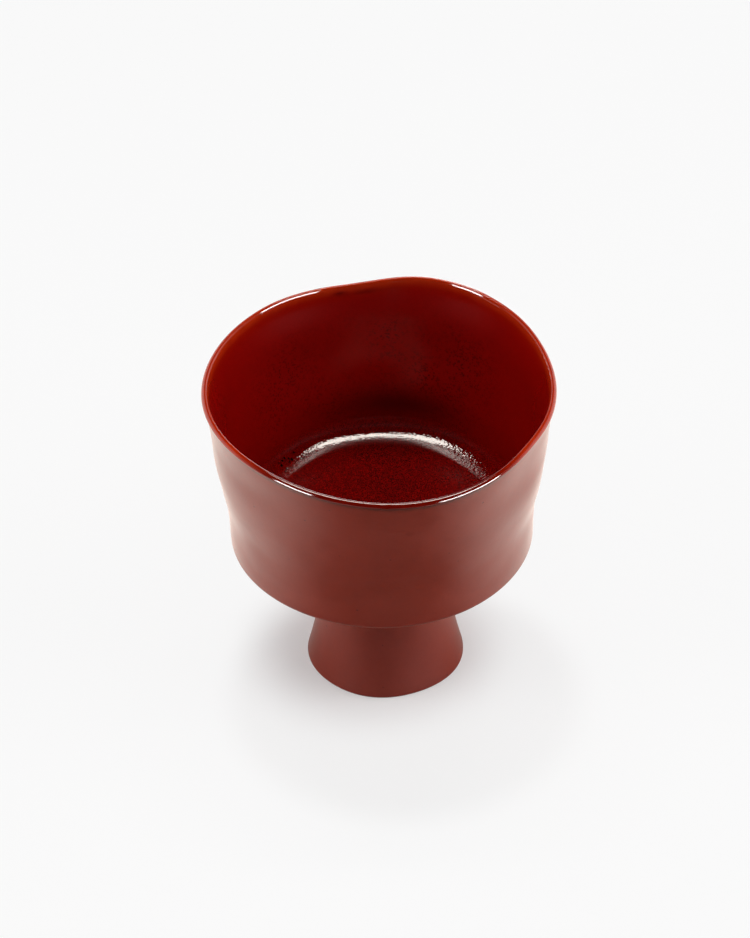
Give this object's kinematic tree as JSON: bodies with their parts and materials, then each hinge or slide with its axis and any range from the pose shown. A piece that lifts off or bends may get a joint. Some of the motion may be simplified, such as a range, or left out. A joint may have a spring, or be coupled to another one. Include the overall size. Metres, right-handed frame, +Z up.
{
  "type": "footed bowl",
  "caption": "Hand-formed round stoneware bowl with a wide flared wall and flat underside, joined to a hollow flared foot, with a glossy glazed inside and lip.",
  "frame": {"origin": "on the surface that the pot stands on, under the middle of the bowl's outline seen from above", "axes": "+Z up through the bowl and foot; +X to the right and +Y away from the viewer in the pictured view"},
  "size_m": [0.1786, 0.1812, 0.1789],
  "materials": {
    "satin_clay": "satin",
    "joint_slip": "satin",
    "oxblood_glaze": "gloss"
  },
  "bodies": {
    "root": {"bowl": "satin_clay", "foot": "satin_clay", "luting_ring": "joint_slip", "glaze_lining": "oxblood_glaze"}
  },
  "joints": []
}
